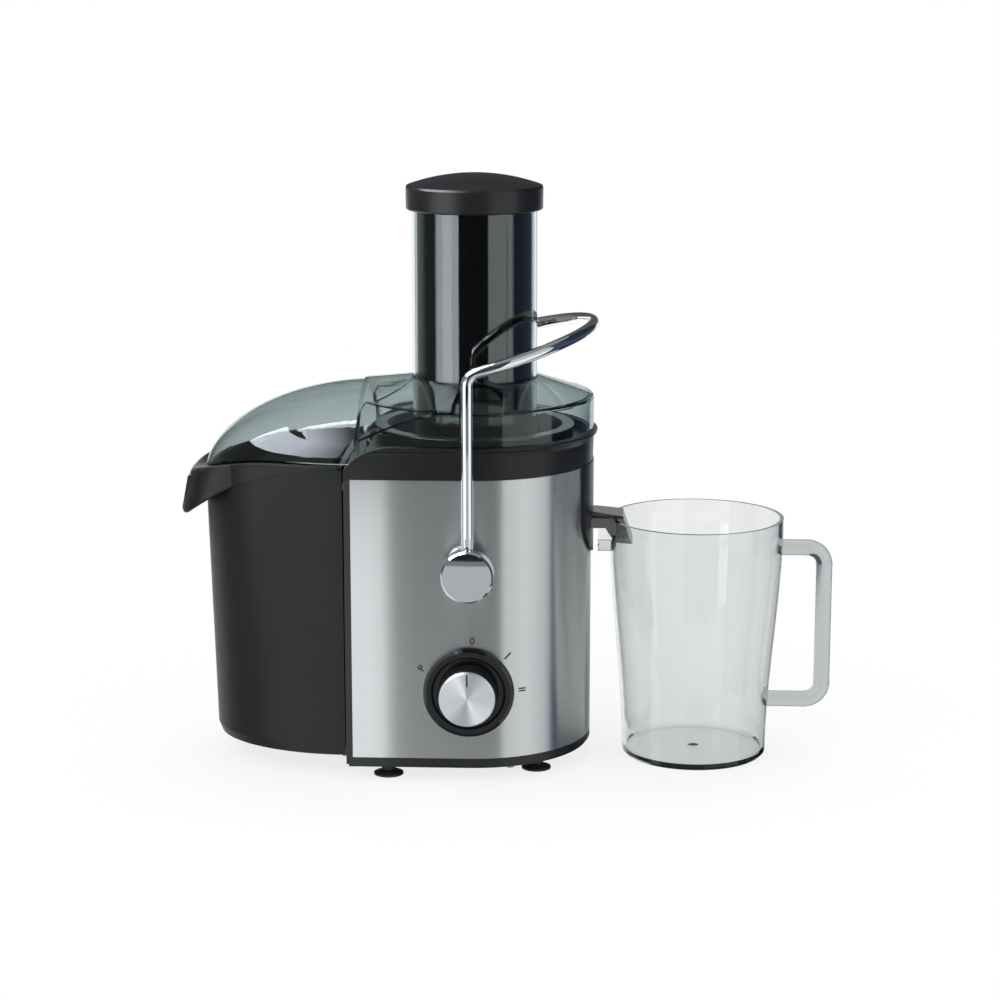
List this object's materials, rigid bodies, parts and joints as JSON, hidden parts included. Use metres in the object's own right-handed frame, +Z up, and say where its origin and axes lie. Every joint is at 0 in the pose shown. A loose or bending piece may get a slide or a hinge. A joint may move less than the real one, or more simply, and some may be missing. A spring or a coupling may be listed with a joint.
{
  "type": "centrifugal juicer",
  "caption": "Upright electric centrifugal juicer with a steel-wrapped motor base, clear lid and wide feed tube, wire locking arm, side pulp bin and clear jug.",
  "frame": {"origin": "on the motor axis, at the level of the table", "axes": "+X from the motor axis to the jug, +Y to the rear, +Z up the motor axis"},
  "size_m": [0.4464, 0.1974, 0.4015],
  "materials": {
    "black_plastic": "satin moulded",
    "gloss_black": "gloss moulded",
    "bin_black": "fine matt moulded",
    "foot_rubber": "matt",
    "seal_rubber": "matt",
    "plated_steel": "zinc plated",
    "brushed_wrap": "brushed level with the table",
    "chrome": "polished",
    "spun_metal": "spun",
    "switch_plastic": "plain moulded",
    "board_green": "coated",
    "lamination": "stacked sheets",
    "copper": "enamelled copper",
    "brass": "drawn",
    "cast_aluminium": "die cast",
    "spout_grey": "metallic grey moulded",
    "hub_white": "moulded",
    "sieve_steel": "etched sheet",
    "clear_lid": "clear moulded",
    "clear_tube": "clear moulded",
    "clear_jug": "clear moulded",
    "clear_handle": "clear moulded, tinted grey"
  },
  "bodies": {
    "machine": {"base_plate": "black_plastic", "foot_front_left": "foot_rubber", "foot_front_right": "foot_rubber", "foot_rear_left": "foot_rubber", "foot_rear_right": "foot_rubber", "foot_screws": "plated_steel", "base_screws": "plated_steel", "housing": "black_plastic", "motor_deck": "black_plastic", "steel_wrap": "brushed_wrap", "cord_gland": "foot_rubber", "dial_ring": "gloss_black", "selector_switch": "switch_plastic", "speed_board": "board_green", "pivot_bush_front": "black_plastic", "pivot_bush_rear": "black_plastic", "safety_switch": "switch_plastic", "stator": "lamination", "field_coils": "copper", "brush_front": "brass", "brush_rear": "brass", "upper_bearing": "plated_steel", "lower_bearing": "plated_steel", "top_bracket": "cast_aluminium", "bottom_bracket": "cast_aluminium", "motor_mounts": "foot_rubber", "shaft_seal": "seal_rubber", "juice_collector": "black_plastic", "spout": "spout_grey", "lid_cover": "clear_lid", "pulp_chute": "clear_lid", "feed_tube": "clear_tube"},
    "locking_arm": {"arm_wire": "chrome", "pivot_disc_front": "chrome", "pivot_disc_rear": "chrome", "pivot_pin_front": "plated_steel", "pivot_pin_rear": "plated_steel"},
    "speed_dial": {"dial_knob": "black_plastic", "dial_cap": "spun_metal"},
    "rotor": {"armature": "lamination", "motor_shaft": "plated_steel", "commutator": "copper", "cooling_fan": "black_plastic", "drive_coupling": "black_plastic", "basket_hub": "hub_white", "filter_basket": "sieve_steel", "grater_disc": "sieve_steel"},
    "pusher": {"pusher_body": "gloss_black", "pusher_cap": "black_plastic"},
    "pulp_bin": {"pulp_bin": "bin_black"},
    "jug": {"jug": "clear_jug", "jug_handle": "clear_handle"}
  },
  "joints": [
    {"name": "arm_hinge", "type": "hinge", "parent": "machine", "child": "locking_arm", "pos_m": [0, 0, 0.145], "axis": [0, 1, 0], "range_deg": [0, 50]},
    {"name": "dial_turn", "type": "hinge", "parent": "machine", "child": "speed_dial", "pos_m": [0, -0.08, 0.0625], "axis": [0, 1, 0], "range_deg": [-60, 90]},
    {"name": "rotor_spin", "type": "hinge", "parent": "machine", "child": "rotor", "pos_m": [0, 0, 0.1], "axis": [0, 0, 1], "continuous": true},
    {"name": "pusher_slide", "type": "slide", "parent": "machine", "child": "pusher", "axis": [0, 0, 1], "range_m": [0, 0.15]},
    {"name": "bin_slide", "type": "slide", "parent": "machine", "child": "pulp_bin", "axis": [-1, 0, 0], "range_m": [0, 0.12]},
    {"name": "jug_slide", "type": "slide", "parent": "machine", "child": "jug", "axis": [1, 0, 0], "range_m": [0, 0.12]}
  ]
}
